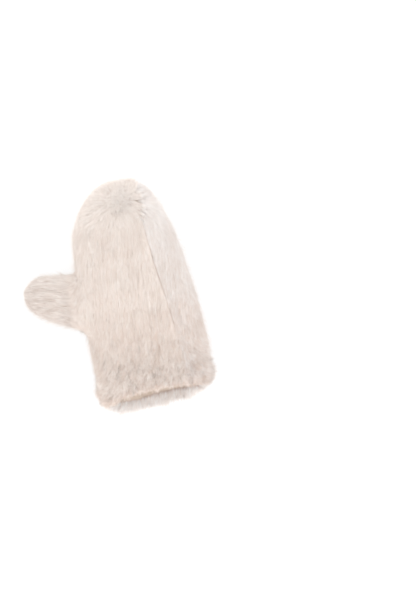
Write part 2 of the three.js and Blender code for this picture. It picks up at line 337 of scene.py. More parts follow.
# A ribbon's points, the corners of its quad and of its pointed end, and where these two faces
# start. Each corner is mapped by how far it lies across the ribbon's band of tone and by its
# height: a share of how soon the hair turns pale, and at the tip the hair's end.
RIBBON_POINTS = 5
RIBBON_FACES = np.array((0, 4))
RIBBON_CORNERS = np.array((0, 1, 2, 3, 3, 2, 4))
CORNER_ACROSS = np.array((0, 1, 1, 0, 0, 1, 0.5))
CORNER_HEIGHT = np.array((0.02, 0.02, 0.5, 0.5, 0.5, 0.5, 0.0))
CORNER_TIP = np.array((0, 0, 0, 0, 0, 0, 0.98))
HEIGHT_LIMITS = (0.01, 0.99)
TONE_BAND = 0.008
MIDDLE_WIDTH = 0.9

# The colours of each panel's pile: its darkest and lightest tips, and its roots.
FUR_COLOURS = {
    "back_fur": ((0.65, 0.50, 0.415), (0.90, 0.845, 0.80), (0.67, 0.51, 0.42)),
    "palm_fur": ((0.63, 0.475, 0.385), (0.915, 0.886, 0.866), (0.64, 0.495, 0.42)),
    "thumb_fur": ((0.55, 0.44, 0.38), (0.87, 0.81, 0.765), (0.58, 0.45, 0.37)),
}
# The hollow's suede is dark, as painted shade for the inside of the mouth.
SHADED_SUEDE_COLOURS = ((0.48, 0.37, 0.29), (0.58, 0.47, 0.38))
WOOL_COLOURS = ((0.80, 0.69, 0.61), (0.88, 0.80, 0.73))

# The hide's surface: fine grain in the hollow, and the undercoat's clouds outside.
GRAIN_SCALE = 900
GRAIN_DETAIL = 4
GRAIN_HEIGHT = 0.5
CLOUD_SCALE = 60
CLOUD_DETAIL = 3
BUMP_DEPTH = 0.4 * MM
BUMP_STRENGTH = 0.6


def smoothstep(value, start, end):
    """From 0 at start to 1 at end, levelling off at both."""
    share = np.clip((value - start) / (end - start), 0, 1)
    return share * share * (3 - 2 * share)


def unit(vectors):
    """Each row at length 1."""
    return vectors / np.maximum(np.linalg.norm(vectors, axis=1, keepdims=True), TINY)


def along(vectors, ways):
    """The part of each row that runs along the unit vector in the same row of ways."""
    return ways * (vectors * ways).sum(1, keepdims=True)


def waves(places, size, rng):
    """A smooth irregularity of about -1 to 1, with bumps about this size across."""
    ways = unit(rng.normal(size=(WAVES, 3))) * (2 * np.pi / size)
    ways *= rng.uniform(*WAVE_RATES, (WAVES, 1))
    starts = rng.uniform(0, 2 * np.pi, WAVES)
    return np.sin(places @ ways.T + starts).sum(1) / math.sqrt(WAVES)


def swirl(places, size, rng):
    """A smooth irregularity in each of the three directions."""
    return np.stack([waves(places, size, rng) for _ in range(3)], 1)


# Places on the mitten


def lip_y(x, z):
    """How far towards the cuff the pile reaches here."""
    upper = np.interp(x, UPPER_LIP[:, 0], UPPER_LIP[:, 1])
    lower = np.interp(x, LOWER_LIP[:, 0], LOWER_LIP[:, 1])
    return lower + (upper - lower) * smoothstep(z, *LIP_HEIGHTS)


def seam_x(y):
    """Where the seam on the back crosses the mitten at this y."""
    return np.interp(y, SEAM[:, 1], SEAM[:, 0])


def seam_way(y):
    """Which way the seam runs towards the cuff at this y."""
    step = np.full(len(y), -SEAM_STEP)
    return unit(np.stack((seam_x(y - SEAM_STEP) - seam_x(y), step, 0 * y), 1))


def thumb_x(y):
    """Where the cut across the thumb's root lies at this y."""
    (near_x, near_y), (far_x, far_y) = THUMB_CUT_NEAR, THUMB_CUT_FAR
    return near_x + (far_x - near_x) * (y - near_y) / (far_y - near_y)


def dent_share(places):
    """1 in the dent near the fingertips and 0 away from it."""
    away = np.linalg.norm(places[:, :2] - DENT, axis=1)
    return smoothstep(away, *DENT_REACH) * (places[:, 2] > EDGE_SEAM_HEIGHT)


def core_share(places):
    """1 in the middle of the whorl and 0 away from it."""
    return smoothstep(np.linalg.norm(places - WHORL, axis=1), WHORL_EDGE, WHORL_CORE)


def frayed_share(places):
    """1 where the pile stands in rough tufts along the top end of the seam."""
    x, y, z = places.T
    low, high = FRAYED_ENDS
    beside = np.exp(-((x - seam_x(y)) / FRAYED_REACH) ** 2) * (z > EDGE_SEAM_HEIGHT)
    beside *= smoothstep(y, low, low + FRAYED_FADE)
    return beside * smoothstep(y, high, high - FRAYED_FADE)


def thumb_share(places):
    """1 where the pile is combed along the thumb and 0 on the hand."""
    x, y, _ = places.T
    low, high = THUMB_ROOT_ENDS
    share = smoothstep(x - thumb_x(y), *THUMB_ROOT_ACROSS)
    share *= smoothstep(y, low - THUMB_ROOT_FADE, low)
    return share * smoothstep(y, high + THUMB_ROOT_FADE, high)


def shown_lip(places):
    """1 where the lower lip shows past the upper one and 0 elsewhere."""
    x, y, z = places.T
    from_upper = y - lip_y(x, ABOVE_ALL)
    from_upper -= LEFT_FULLER * smoothstep(x, *LEFT_CORNER)
    from_upper += MOUTH_DARK_DEPTH * np.exp(-((x - MOUTH_DARKEST) / MOUTH_DARK_SPAN) ** 2)
    return smoothstep(from_upper, *SHOWN_LIP) * (z < UPPER_LIP_HEIGHT)


# Modelling by hand


def only(piece):
    """Selects this piece alone and makes it active."""
    bpy.ops.object.select_all(action="DESELECT")
    piece.select_set(True)
    bpy.context.view_layer.objects.active = piece


def modify(piece, kind, **settings):
    """Adds one modifier and applies it."""
    only(piece)
    modifier = piece.modifiers.new(kind.lower(), kind)
    for name, value in settings.items():
        setattr(modifier, name, value)
    bpy.ops.object.modifier_apply(modifier=modifier.name)


def new_piece(name, mesh):
    """A new object in the scene with this mesh."""
    piece = bpy.data.objects.new(name, mesh)
    bpy.context.scene.collection.objects.link(piece)
    return piece


def copy_of_nodes(name):
    """One new piece with the faces of all the frame's nodes, closed up."""
    bm = bmesh.new()
    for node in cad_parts.values():
        bm.from_mesh(node.data)
    mesh = bpy.data.meshes.new(name)
    bm.to_mesh(mesh)
    bm.free()
    piece = new_piece(name, mesh)
    only(piece)
    bpy.ops.object.mode_set(mode="EDIT")
    bpy.ops.mesh.select_all(action="SELECT")
    bpy.ops.mesh.remove_doubles(threshold=WELD)
    bpy.ops.object.mode_set(mode="OBJECT")
    return piece


def far_left(y):
    """A line in plan that lies left of the whole mitten."""
    return -BEYOND


def moved(line, by):
    """A line in plan, moved sideways by this much."""
    def moved_line(y):
        return line(y) + by
    return moved_line


def block(name, left, right, low):
    """A tall block over the strip of the plan between two lines, to cut with."""
    rows = sorted({-BEYOND, BEYOND, *(float(y) for y in SEAM[:, 1])})
    bpy.ops.mesh.primitive_grid_add(x_subdivisions=1, y_subdivisions=len(rows) - 1, size=1)
    piece = bpy.context.object
    piece.name = name
    corners = sorted(piece.data.vertices, key=lambda corner: (round(corner.co.y, 6), corner.co.x))
    for y, near, far in zip(rows, corners[0::2], corners[1::2]):
        near.co = (left(y), y, low)
        far.co = (right(y), y, low)
    bpy.ops.object.mode_set(mode="EDIT")
    bpy.ops.mesh.select_all(action="SELECT")
    bpy.ops.mesh.extrude_region_move(TRANSFORM_OT_translate={"value": (0, 0, ABOVE_ALL - low)})
    bpy.ops.mesh.select_all(action="SELECT")
    bpy.ops.mesh.normals_make_consistent(inside=False)
    bpy.ops.object.mode_set(mode="OBJECT")
    return piece


def vertex_rows(mesh, field):
    """A field of every vertex of a mesh as rows of three numbers."""
    found = np.empty(len(mesh.vertices) * 3, np.float32)
    mesh.vertices.foreach_get(field, found)
    return found.reshape(-1, 3).astype(float)


def keep_largest(piece):
    """Deletes every loose part of a piece but the largest."""
    bm = bmesh.new()
    bm.from_mesh(piece.data)
    left = set(bm.verts)
    parts = []
    while left:
        part = {left.pop()}
        front = list(part)
        while front:
            around = {edge.other_vert(corner) for corner in front for edge in corner.link_edges}
            front = list(around - part)
            part |= around
        left -= part
        parts.append(part)
    parts.sort(key=len)
    for part in parts[:-1]:
        bmesh.ops.delete(bm, geom=list(part), context="VERTS")
    bm.to_mesh(piece.data)
    bm.free()


# Hides


def ball(count):
    """Directions spread evenly over a ball."""
    step = np.arange(count) + 0.5
    height = 1 - 2 * step / count
    turn = step * math.pi * (3 - math.sqrt(5))
    out = np.sqrt(1 - height ** 2)
    return np.stack((out * np.cos(turn), out * np.sin(turn), height), 1)


def openness(tree, places, normals):
    """The share of the directions in front of each vertex that lead out of the mitten."""
    ways = ball(RAYS)
    vectors = [Vector(way) for way in ways]
    facing = normals @ ways.T > IN_FRONT
    starts = places + normals * MM
    free = np.zeros(len(places))
    for i, seen in enumerate(facing):
        start = Vector(starts[i])
        tried = [vectors[k] for k in np.flatnonzero(seen)]
        free[i] = sum(tree.ray_cast(start, way, CLEAR_WAY)[0] is None for way in tried) / len(tried)
    return free


def spread_out(mesh, values, passes):
    """Each vertex's value mixed with the mean of its neighbours', several times."""
    edges = np.empty(len(mesh.edges) * 2, np.int32)
    mesh.edges.foreach_get("vertices", edges)
    a, b = edges.reshape(-1, 2).T
    count = np.bincount(edges, minlength=len(values))
    for _ in range(passes):
        total = np.bincount(a, values[b], len(values)) + np.bincount(b, values[a], len(values))
        values = 0.5 * values + 0.5 * total / count
    return values


def pile_depth(ruffle):
    """How deep the pile is, by how far it is ruffled."""
    return PILE_DEPTH + (CUFF_PILE_DEPTH - PILE_DEPTH) * ruffle


def depth_below(places, share):
    """How far below the top of the pile the hide should lie at each place."""
    x, y, z = places.T
    depth = share * pile_depth(smoothstep(y, RUFFLE_START, RUFFLE_END))
    from_seam = (x - seam_x(y)) / SEAM_RIDGE_REACH
    depth *= 1 - SEAM_RIDGE * np.exp(-from_seam ** 2) * (z > EDGE_SEAM_HEIGHT)
    firm = smoothstep(z, *FIRM_HEIGHTS) * smoothstep(y - lip_y(x, 0), *FIRM_REACH)
    return depth * (1 - FIRM_LIP * firm)


def room_in_wall(mesh, tree, places, normals, depth):
    """The share of its depth that each place can move in by before the wall is too thin."""
    room = np.ones(len(places))
    for i in range(len(places)):
        start = Vector(places[i] - normals[i] * OFF_SURFACE)
        _, _, face, distance = tree.ray_cast(start, Vector(-normals[i]))
        if face is not None:
            other = depth[mesh.polygons[face].vertices[0]]
            room[i] = max(distance - LEAST_HIDE, 0) / max(depth[i] + other, TINY)
    return np.minimum(room, 1)


def clear_of_floor_and_lips(places):
    """The places lifted off the floor and drawn back behind the ends of the pile."""
    x, y, z = places.T
    z = np.maximum(z, ABOVE_FLOOR)
    bare = LOWER_LIP_BARE + (LIP_BARE - LOWER_LIP_BARE) * smoothstep(z, *LIP_HEIGHTS)
    return np.stack((x, np.maximum(y, lip_y(x, z) + bare), z), 1)


def carried_over(values, places, new_places):
    """Each new place's value, taken from the nearest of the old places."""
    known = KDTree(len(places))
    for i, place in enumerate(places):
        known.insert(place, i)
    known.balance()
    return values[[known.find(place)[1] for place in new_places]]


def whole_hide():
    """The hide in one piece, and where pile stands on it, from 0 to 1 at each vertex."""
    hide = copy_of_nodes("whole_hide")
    modify(hide, "REMESH", mode="VOXEL", voxel_size=VOXEL, use_smooth_shade=True)
    modify(hide, "SMOOTH", factor=0.5, iterations=SMOOTH_PASSES)
    mesh = hide.data
    tree = BVHTree.FromObject(hide, bpy.context.evaluated_depsgraph_get())
    places, normals = vertex_rows(mesh, "co"), vertex_rows(mesh, "normal")
    share = smoothstep(openness(tree, places, normals), ENCLOSED, OPEN)
    share = spread_out(mesh, share, SHARE_PASSES)
    depth = depth_below(places, share)
    room = room_in_wall(mesh, tree, places, normals, depth)
    depth = spread_out(mesh, depth * room, DEPTH_PASSES)
    places = clear_of_floor_and_lips(places - normals * depth[:, None])
    mesh.vertices.foreach_set("co", places.astype(np.float32).ravel())
    modify(hide, "REMESH", mode="VOXEL", voxel_size=VOXEL, use_smooth_shade=True)
    modify(hide, "SMOOTH", factor=0.5, iterations=LAST_SMOOTH_PASSES)
    keep_largest(hide)
    new_places = vertex_rows(hide.data, "co")
    share = carried_over(share, places, new_places)
    outside = hide.data.attributes.new("outside", "FLOAT", "POINT")
    outside.data.foreach_set("value", share.astype(np.float32))
    return hide, np.maximum(share, shown_lip(new_places))


def cut_of(whole, name, *cuts):
    """A copy of the whole hide, cut in turn with each of the blocks."""
    piece = whole.copy()
    piece.data = whole.data.copy()
    piece.name = piece.data.name = name
    bpy.context.scene.collection.objects.link(piece)
    for operation, cutter in cuts:
        modify(piece, "BOOLEAN", operation=operation, object=cutter, solver="EXACT")
    return piece


def panel_hides(whole):
    """The hides of the back panel, the palm panel and the thumb."""
    half = SEAM_GAP / 2
    back = block(
        "back_block", moved(thumb_x, half), moved(seam_x, -half), EDGE_SEAM_HEIGHT + half)
    over_palm = block("over_palm_block", far_left, moved(seam_x, half), EDGE_SEAM_HEIGHT - half)
    thumb = block("thumb_block", far_left, moved(thumb_x, -half), -half)
    by_thumb = block("by_thumb_block", far_left, moved(thumb_x, half), -half)
    hides = {
        "back_panel": cut_of(whole, "back_hide", ("INTERSECT", back)),
        "palm_panel": cut_of(
            whole, "palm_hide", ("DIFFERENCE", over_palm), ("DIFFERENCE", by_thumb)),
        "thumb": cut_of(whole, "thumb_hide", ("INTERSECT", thumb)),
    }
    for tool in (back, over_palm, thumb, by_thumb, whole):
        bpy.data.objects.remove(tool)
    return hides


# Pile


def scatter(piece, share, rng):
    """Roots spread over the outer faces of a piece: places, normals and openness."""
    mesh = piece.data
    mesh.calc_loop_triangles()
    corners = np.empty(len(mesh.loop_triangles) * 3, np.int32)
    mesh.loop_triangles.foreach_get("vertices", corners)
    corners = corners.reshape(-1, 3)
    places, normals = vertex_rows(mesh, "co"), vertex_rows(mesh, "normal")
    a, b, c = (places[corners[:, k]] for k in range(3))
    cross = np.cross(b - a, c - a)
    weight = np.linalg.norm(cross, axis=1) * (share[corners].mean(1) > BARE_BELOW)
    weight *= 1 + (UNDERSIDE_SHARE - 1) * smoothstep(-unit(cross)[:, 2], *UNDERSIDE_FACING)
    at_cuff = smoothstep(a[:, 1], RUFFLE_START, RUFFLE_END)
    weight *= 1 + WHORL_DENSER * core_share(a) + CUFF_DENSER * at_cuff
    chosen = rng.choice(len(corners), RIBBONS, p=weight / weight.sum())
    s, t = np.sqrt(rng.uniform(size=RIBBONS)), rng.uniform(size=RIBBONS)
    parts = np.stack((1 - s, s * (1 - t), s * t), 1)[:, :, None]
    own = corners[chosen]
    return (places[own] * parts).sum(1), unit((normals[own] * parts).sum(1)), share[own].mean(1)


def out_of_whorl(places):
    """The way out from the whorl at each place, weak in its core."""
    out = places - WHORL
    return out / (np.linalg.norm(out, axis=1, keepdims=True) + WHORL_CORE)


def hand_nap(places, normals):
    """How the hand is combed: out of the whorl, to the cuff, and fanned out at its ends."""
    x, y, _ = places.T
    near_tip = (smoothstep(normals[:, 2], *TOP_FACING) * smoothstep(y, *WHORL_ROWS))[:, None]
    nap = (1 - near_tip) * (-HAND_SLANT, -1, 0) + near_tip * out_of_whorl(places)
    right = smoothstep(x - seam_x(y), *RIGHT_FAN["from_seam"])
    left = smoothstep(x, *LEFT_FAN["across"])
    nap[:, 0] += RIGHT_FAN["most"] * smoothstep(y, *RIGHT_FAN["rows"]) * right
    nap[:, 0] -= LEFT_FAN["most"] * smoothstep(y, *LEFT_FAN["rows"]) * left
    return nap


def nap_of(places, normals):
    """Which way the pile is combed: over the hand, along the thumb and along the seam."""
    x, y, z = places.T
    on_thumb = thumb_share(places)[:, None]
    nap = on_thumb * (-1, THUMB_SLANT, 0) + (1 - on_thumb) * hand_nap(places, normals)
    by_seam = smoothstep(abs(x - seam_x(y)), *SEAM_BESIDE) * (z > EDGE_SEAM_HEIGHT)
    by_seam *= (1 - smoothstep(y, *SEAM_FADES)) * (1 - smoothstep(y, *SEAM_BREAKS))
    nap += by_seam[:, None] * (seam_way(y) - nap)
    return nap


def tufts_of(places, normals, rng):
    """The tuft that each root belongs to, counted from 0."""
    x, y, z = places.T
    in_dent = dent_share(places) > DENT_TUFTS
    swing = CUFF_TUFTS_SWING * waves(places, CUFF_TUFTS_WAVE, rng)
    at_cuff = (y + swing < CUFF_TUFTS) | in_dent
    on_thumb = x < thumb_x(y) + THUMB_TUFTS
    on_tip = (y > TIP_TUFTS) & (normals[:, 2] > TIP_FACING) & ~in_dent
    out = places - WHORL
    turn = np.arctan2(out[:, 0], -out[:, 1]) * WHORL_RADIUS
    by_whorl = np.stack((turn, WHORL_TUFT_RATE * np.linalg.norm(out, axis=1), z * 0), 1)
    by_thumb = np.stack((y + THUMB_SLANT * x, x, z), 1)
    by_hand = np.stack((x - HAND_SLANT * y, y, z), 1)
    rows = np.where(on_thumb[:, None], by_thumb, by_hand)
    rows = np.where(on_tip[:, None], by_whorl, rows)
    size = np.where(at_cuff[:, None], CUFF_TUFT_SIZE, TUFT_SIZE)
    warp = swirl(places, TUFT_WARP_SIZE, rng) * TUFT_WARP
    region = (on_thumb + 2 * on_tip + 4 * at_cuff)[:, None]
    cell = np.hstack((np.floor(rows / size + warp), np.round(normals * TUFT_FACINGS), region))
    return np.unique(cell.astype(int), axis=0, return_inverse=True)[1].ravel()


class Pile:
    """Every hair, a row each: where it stands, how it lies and how it looks."""

    def __init__(self, places, normals, openness, rng):
        """Sorts the roots into regions and tufts, and then grows the hairs from them.

        The steps draw random numbers, so their order is part of how the pile looks.
        """
        self.places, self.normals, self.openness, self.rng = places, normals, openness, rng
        self.x, self.y, self.z = places.T
        self.find_regions()
        self.tuft = tufts_of(places, normals, rng)
        self.tuft_sizes = np.bincount(self.tuft)
        self.set_manner()
        self.set_ways()
        self.set_lengths()
        self.trim_at_lips()
        self.lay()
        self.set_sides()
        self.set_tones()
        self.set_sways()

    def each(self, low=0, high=1):
        """A random number between two limits for every hair."""
        return self.rng.uniform(low, high, len(self.places))

    def by_hair(self, *columns):
        """A random number of about -1 to 1, or a row of them, for every hair."""
        return self.rng.normal(size=(len(self.places), *columns))

    def by_tuft(self, *columns):
        """The same, but alike for all the hairs of a tuft."""
        return self.rng.normal(size=(len(self.tuft_sizes), *columns))[self.tuft]

    def tuft_mean(self, rows):
        """For every hair, the mean of its tuft's rows."""
        means = [np.bincount(self.tuft, column) / self.tuft_sizes for column in rows.T]
        return np.stack(means, 1)[self.tuft]

    def find_regions(self):
        """Where each root stands: the seam, the lips, the thumb, the dent, the sides, the cuff."""
        x, y, z, normals = self.x, self.y, self.z, self.normals
        self.on_back = z > EDGE_SEAM_HEIGHT
        self.on_thumb = x < thumb_x(y)
        self.from_seam = x - seam_x(y)
        self.from_low_lip = y - lip_y(x, 0)
        self.dent = dent_share(self.places)
        self.core = core_share(self.places)
        self.frayed = np.maximum(self.dent, frayed_share(self.places))
        self.at_side = smoothstep(-normals[:, 0], *SIDE_FACING)
        low = z < UPPER_LIP_HEIGHT
        axis_way = unit(np.stack((HOLLOW_AXIS[0] - x, 0 * y, HOLLOW_AXIS[1] - z), 1))
        self.in_mouth = ((normals * axis_way).sum(1) > AXIS_FACING) & (y < MOUTH_END) & low
        self.low_edge = (normals.min(1) < LOW_FACING) & (y < LOW_EDGE_END) & low
        self.low_lip = self.in_mouth | self.low_edge
        ruffle = np.maximum(smoothstep(y, RUFFLE_START, RUFFLE_END), WHORL_RUFFLE * self.core)
        self.ruffle = ruffle * np.where(self.low_lip, LOWER_LIP_RUFFLE, 1)

    def set_manner(self):
        """How each hair grows, between combed and ruffled, and which ones are guard hairs."""
        ruffle = self.ruffle
        manner = {name: COMBED[name] + (RUFFLED[name] - COMBED[name]) * ruffle for name in COMBED}
        manner["gather"] *= 1 - np.maximum(DENT_LOOSER * self.dent, WHORL_LOOSER * self.core)
        manner["tip_lift"] += SIDE_LIFT * self.at_side * ruffle
        calm = np.exp(-(self.from_seam / SEAM_CALM) ** 2) * self.on_back
        manner["stray"] *= 1 - SEAM_CALMER * calm
        self.manner = manner
        self.guard = self.each() < GUARD_SHARE * (1 + ruffle)
        self.loose = self.guard * self.each() ** GUARD_LOOSE_POWER

    def drift(self):
        """How far each hair wanders from the nap: in waves, by its tuft and by itself."""
        stray, dent, frayed, loose = self.manner["stray"], self.dent, self.frayed, self.loose
        drift = swirl(self.places, DRIFT_SIZE, self.rng) * DRIFT["hand"]
        by_cuff = (DRIFT["cuff"] * self.ruffle ** 2)[:, None]
        drift += swirl(self.places, CUFF_DRIFT_SIZE, self.rng) * by_cuff
        drift += self.by_tuft(3) * (stray + DRIFT["frayed"] * frayed)[:, None]
        own = stray + DRIFT["loose"] * loose + DRIFT["dent"] * dent
        drift += self.by_hair(3) * own[:, None]
        return drift - along(drift, self.normals) * DRIFT_FLAT

    def set_ways(self):
        """Which way the lower and the upper half of each hair point."""
        normals, manner, loose = self.normals, self.manner, self.loose
        nap = nap_of(self.places, normals) * (1 - DENT_UNCOMBED * self.dent)[:, None]
        nap -= along(nap, normals)
        drift = self.drift()
        lift = (manner["lift"] + ROOT_LOOSE_LIFT * loose)[:, None]
        tip_lift = (manner["tip_lift"] + TIP_LOOSE_LIFT * loose + LEAST_LIFT)[:, None]
        follow = manner["nap"][:, None]
        self.root_way = unit(normals * lift + nap * follow + drift * ROOT_DRIFT)
        self.tip_way = unit(normals * tip_lift + nap + drift)

    def find_fuzz(self):
        """The hairs that are cut short in the seam on the back. Towards the cuff, few are."""
        deeper = SEAM_DEEPER * np.exp(-((self.y - SEAM_DEEPEST) / SEAM_DEEP_SPAN) ** 2)
        self.fuzz = (abs(self.from_seam) < SEAM_FUZZ * (1 + deeper)) & self.on_back
        self.fuzz &= self.y < SEAM_FADES[0]
        self.fuzz &= self.each() > SEAM_BROKEN * smoothstep(self.y, *SEAM_BREAKS)

    def highest_rise(self):
        """How high each hair may rise over the hide."""
        ruffle, normals = self.ruffle, self.normals
        spread = self.low_edge * smoothstep(self.y, *LIP_SPREAD_ROWS)
        spread *= smoothstep(normals[:, 0], *LIP_SPREAD_FACING)
        height = RISE["hand"] + RISE["ruffle"] * ruffle + RISE["loose"] * self.loose
        height += RISE["lower_lip"] * spread
        height *= pile_depth(ruffle) * np.clip(self.openness, LEAST_SHARE, 1)
        sunk = (RISE_UNEVEN["ruffle"] + RISE_UNEVEN["side"] * self.at_side) * ruffle
        height *= 1 - sunk * np.sqrt(self.each())
        height *= 1 + RISE_UNDER_THUMB * self.on_thumb * (-normals[:, 1]).clip(0, 1)
        beside = smoothstep(abs(normals[:, 0]), *HAND_SIDE_FACING) * ~self.on_thumb
        return height * (1 + RISE_BESIDE_HAND * beside * (1 - ruffle) * self.each())

    def set_lengths(self):
        """How long each hair is: as its manner says, but no longer than its height allows."""
        self.find_fuzz()
        rise = ((self.root_way + self.tip_way) * self.normals).sum(1) / 2
        longest = self.highest_rise() / np.maximum(rise, LEAST_RISE)
        length = np.minimum(self.manner["length"] * (1 + GUARD_LONGER * self.loose), longest)
        length[self.in_mouth] *= IN_MOUTH_LENGTH
        length *= 1 - THUMB_TIP_CLIP * smoothstep(self.x, *THUMB_TIP)
        length[self.fuzz] *= FUZZ_LENGTH
        length *= self.each(*LENGTHS)
        length *= (1 + CUFF_RAGGED * self.ruffle * self.by_tuft()).clip(*RAGGED_LIMITS)
        self.length = length

    def trim_at_lips(self):
        """Shortens the hairs that reach too far past the lips, to an uneven line."""
        end = self.places + (self.root_way + self.tip_way) * self.length[:, None] / 2
        swing = UNEVEN_WAVES * waves(self.places, UNEVEN_SIZE, self.rng)
        swing += UNEVEN_TUFTS * self.by_tuft()
        short = np.where(self.low_lip, LOWER_LIP_FRINGE, LIP_FRINGE) * self.each() ** FRINGE_POWER
        upper_strays = LIP_STRAYS + LEFT_FULLER * smoothstep(self.x, *LEFT_CORNER)
        short -= np.where(self.low_lip, LOWER_LIP_STRAYS, upper_strays)
        short[self.normals[:, 2] < LOW_FACING] = UNDERSIDE_SHORT
        past = lip_y(end[:, 0], self.z) + LIP_UNEVEN * swing + short - end[:, 1]
        kept = 1 - past / np.maximum(self.y - end[:, 1], TINY)
        self.length *= np.where(past > 0, kept, 1).clip(LEAST_LENGTH, 1)

    def lay(self):
        """Lays the middle and the tip of each hair, drawn together with its tuft."""
        half = self.length[:, None] / 2
        self.middle = self.places + self.root_way * half
        self.tip = self.middle + self.tip_way * half
        gather = self.manner["gather"] * self.each(*GATHERS) * ~self.guard
        gather[self.fuzz] = 0
        gather = gather[:, None]
        self.tip += gather * (self.tuft_mean(self.tip) - self.tip)
        self.middle += MIDDLE_GATHER * gather * (self.tuft_mean(self.middle) - self.middle)
        for points in (self.middle, self.tip):
            points[:, 2] = np.maximum(points[:, 2], ON_FLOOR * self.each(*ON_FLOOR_SPREAD))

    def set_sides(self):
        """Which way each ribbon's sides lie, so that it faces out and up, and how wide it is."""
        upward = smoothstep(self.normals[:, 2], *UP_FACING_SPAN)[:, None]
        facing = self.normals + UP_FACING * UP * upward
        facing += self.by_hair(3) * FACING_UNEVEN
        self.side = unit(np.cross(self.tip - self.places, facing))
        self.width = RIBBON_WIDTH * np.where(self.guard, GUARD_WIDTH, 1)

    def lip_tone(self):
        """What the lips add, as painted light and shade: the lower is darker near the mouth and on its
        right, as the upper lip's shade, and lighter to its end; the upper ends darker.
        """
        lower = TONE["lower_lip"] + TONE["lip_end_painted_light"] * self.lip_end_painted_light
        lower += TONE["lip_right_painted_shade"] * self.lip_right_painted_shade
        # Painted shade: the upper lip's hairs are darker just behind its edge, toning down the lamp's
        # light there.
        from_upper = self.y - lip_y(self.x, ABOVE_ALL)
        upper = smoothstep(from_upper, *UPPER_LIP_SHADE) * (self.z > UPPER_LIP_HEIGHT)
        return np.where(self.low_lip, lower, 0) + TONE["upper_lip_painted_shade"] * upper

    def thumb_tone(self):
        """What the thumb adds to the tone: painted light, lighter on its side towards the fingertips
        and darker on its side towards the cuff, and darker to its tip.
        """
        tone = TONE["thumb"] + TONE["thumb_side_painted_light"] * self.normals[:, 1]
        return self.on_thumb * (tone + TONE["thumb_tip"] * smoothstep(self.x, *THUMB_TIP))

    def streaks(self):
        """How the tone differs from tuft to tuft and from hair to hair."""
        strength = STREAKS["hand"] + STREAKS["ruffle"] * self.ruffle
        strength += STREAKS["thumb"] * self.on_thumb + STREAKS["frayed"] * self.frayed
        strength += STREAKS["calm"] * smoothstep(self.y, *CALM_ROWS)
        own_strength = HAIR_STREAKS["hand"] + HAIR_STREAKS["ruffle"] * self.ruffle
        return strength * self.by_tuft() + own_strength * self.by_hair()

    def set_tones(self):
        """How light each hair is, painted light and shade included, and how soon it turns from its
        root's colour to its tip's.
        """
        x, y, ruffle, frayed = self.x, self.y, self.ruffle, self.frayed
        self.lip_end_painted_light = smoothstep(self.from_low_lip, *LIP_END_LIGHT)
        self.lip_right_painted_shade = smoothstep(x, *LIP_RIGHT_SHADE)
        tone = TONE["hand"] + TONE["clouds"] * waves(self.places, CLOUD_SIZE, self.rng)
        # Painted light: hairs are lighter where the hide is enclosed, as in the crease by the thumb,
        # against the shade there.
        tone += TONE["crease_painted_light"] * (1 - self.openness) + TONE["frayed"] * frayed
        tone += TONE["fingers"] * smoothstep(y, *FINGERS) + TONE["ruffle"] * ruffle
        # Painted shade: off the thumb, hairs get darker towards the cuff.
        tone += TONE["near_cuff_painted_shade"] * smoothstep(y, *NEAR_CUFF_SHADE) * ~self.on_thumb
        right = (self.from_seam > 0) & self.on_back
        tone += TONE["right_of_seam"] * right * smoothstep(y, *BELOW_FINGERS)
        tone += self.lip_tone() + self.thumb_tone() + self.streaks()
        self.tone = tone.clip(*TONE_LIMITS)
        # Painted shade on the lower lip: its roots show more near the mouth and on its right, less
        # towards its end.
        on_lip = PALE["lower_lip"] + PALE["lip_right_painted_shade"] * self.lip_right_painted_shade
        on_lip += PALE["lip_end_painted_light"] * self.lip_end_painted_light
        elsewhere = PALE["hand"] + PALE["ruffle"] * ruffle + PALE["frayed"] * frayed
        self.pale = np.where(self.fuzz, PALE["fuzz"], np.where(self.low_lip, on_lip, elsewhere))

    def set_sways(self):
        """How far the light on each hair is turned: by its tuft, and upwards underneath."""
        below = -self.normals[:, 2]
        by_lip = smoothstep(self.from_low_lip, *BY_LIP)
        lift = below.clip(0, 1) * np.maximum(smoothstep(below, *FLAT_UNDER), by_lip)
        self.sway = self.by_tuft(3) * (SWAY["hand"] + SWAY["ruffle"] * self.ruffle)[:, None]
        self.sway[:, 1] -= LIP_OUTWARD * lift * by_lip
        lift[self.in_mouth] = MOUTH_UPWARD
        self.sway += UP * lift[:, None]


def ribbon_faces(name, points):
    """A mesh of ribbons, from the five points of each."""
    first = np.arange(len(points))[:, None]
    corners = first * RIBBON_POINTS + RIBBON_CORNERS
    starts = first * len(RIBBON_CORNERS) + RIBBON_FACES
    mesh = bpy.data.meshes.new(name)
    mesh.vertices.add(len(points) * RIBBON_POINTS)
    mesh.vertices.foreach_set("co", points.astype(np.float32).ravel())
    mesh.loops.add(corners.size)
    mesh.loops.foreach_set("vertex_index", corners.astype(np.int32).ravel())
    mesh.polygons.add(starts.size)
    mesh.polygons.foreach_set("loop_start", starts.astype(np.int32).ravel())
    mesh.update(calc_edges=True)
    mesh.polygons.foreach_set("use_smooth", np.ones(starts.size, bool))
    return mesh


def map_ribbons(mesh, tone, pale):
    """Maps each ribbon's corners: tone across and height along it."""
    across = CORNER_ACROSS * TONE_BAND
    end = np.where(pale < SHORT_OF_TIP, pale, 1)[:, None]
    height = (CORNER_HEIGHT * pale[:, None] + CORNER_TIP * end).clip(*HEIGHT_LIMITS)
    uv = np.stack((tone[:, None] + across, height), 2)
    mesh.uv_layers.new(name="OFBake").uv.foreach_set("vector", uv.astype(np.float32).ravel())


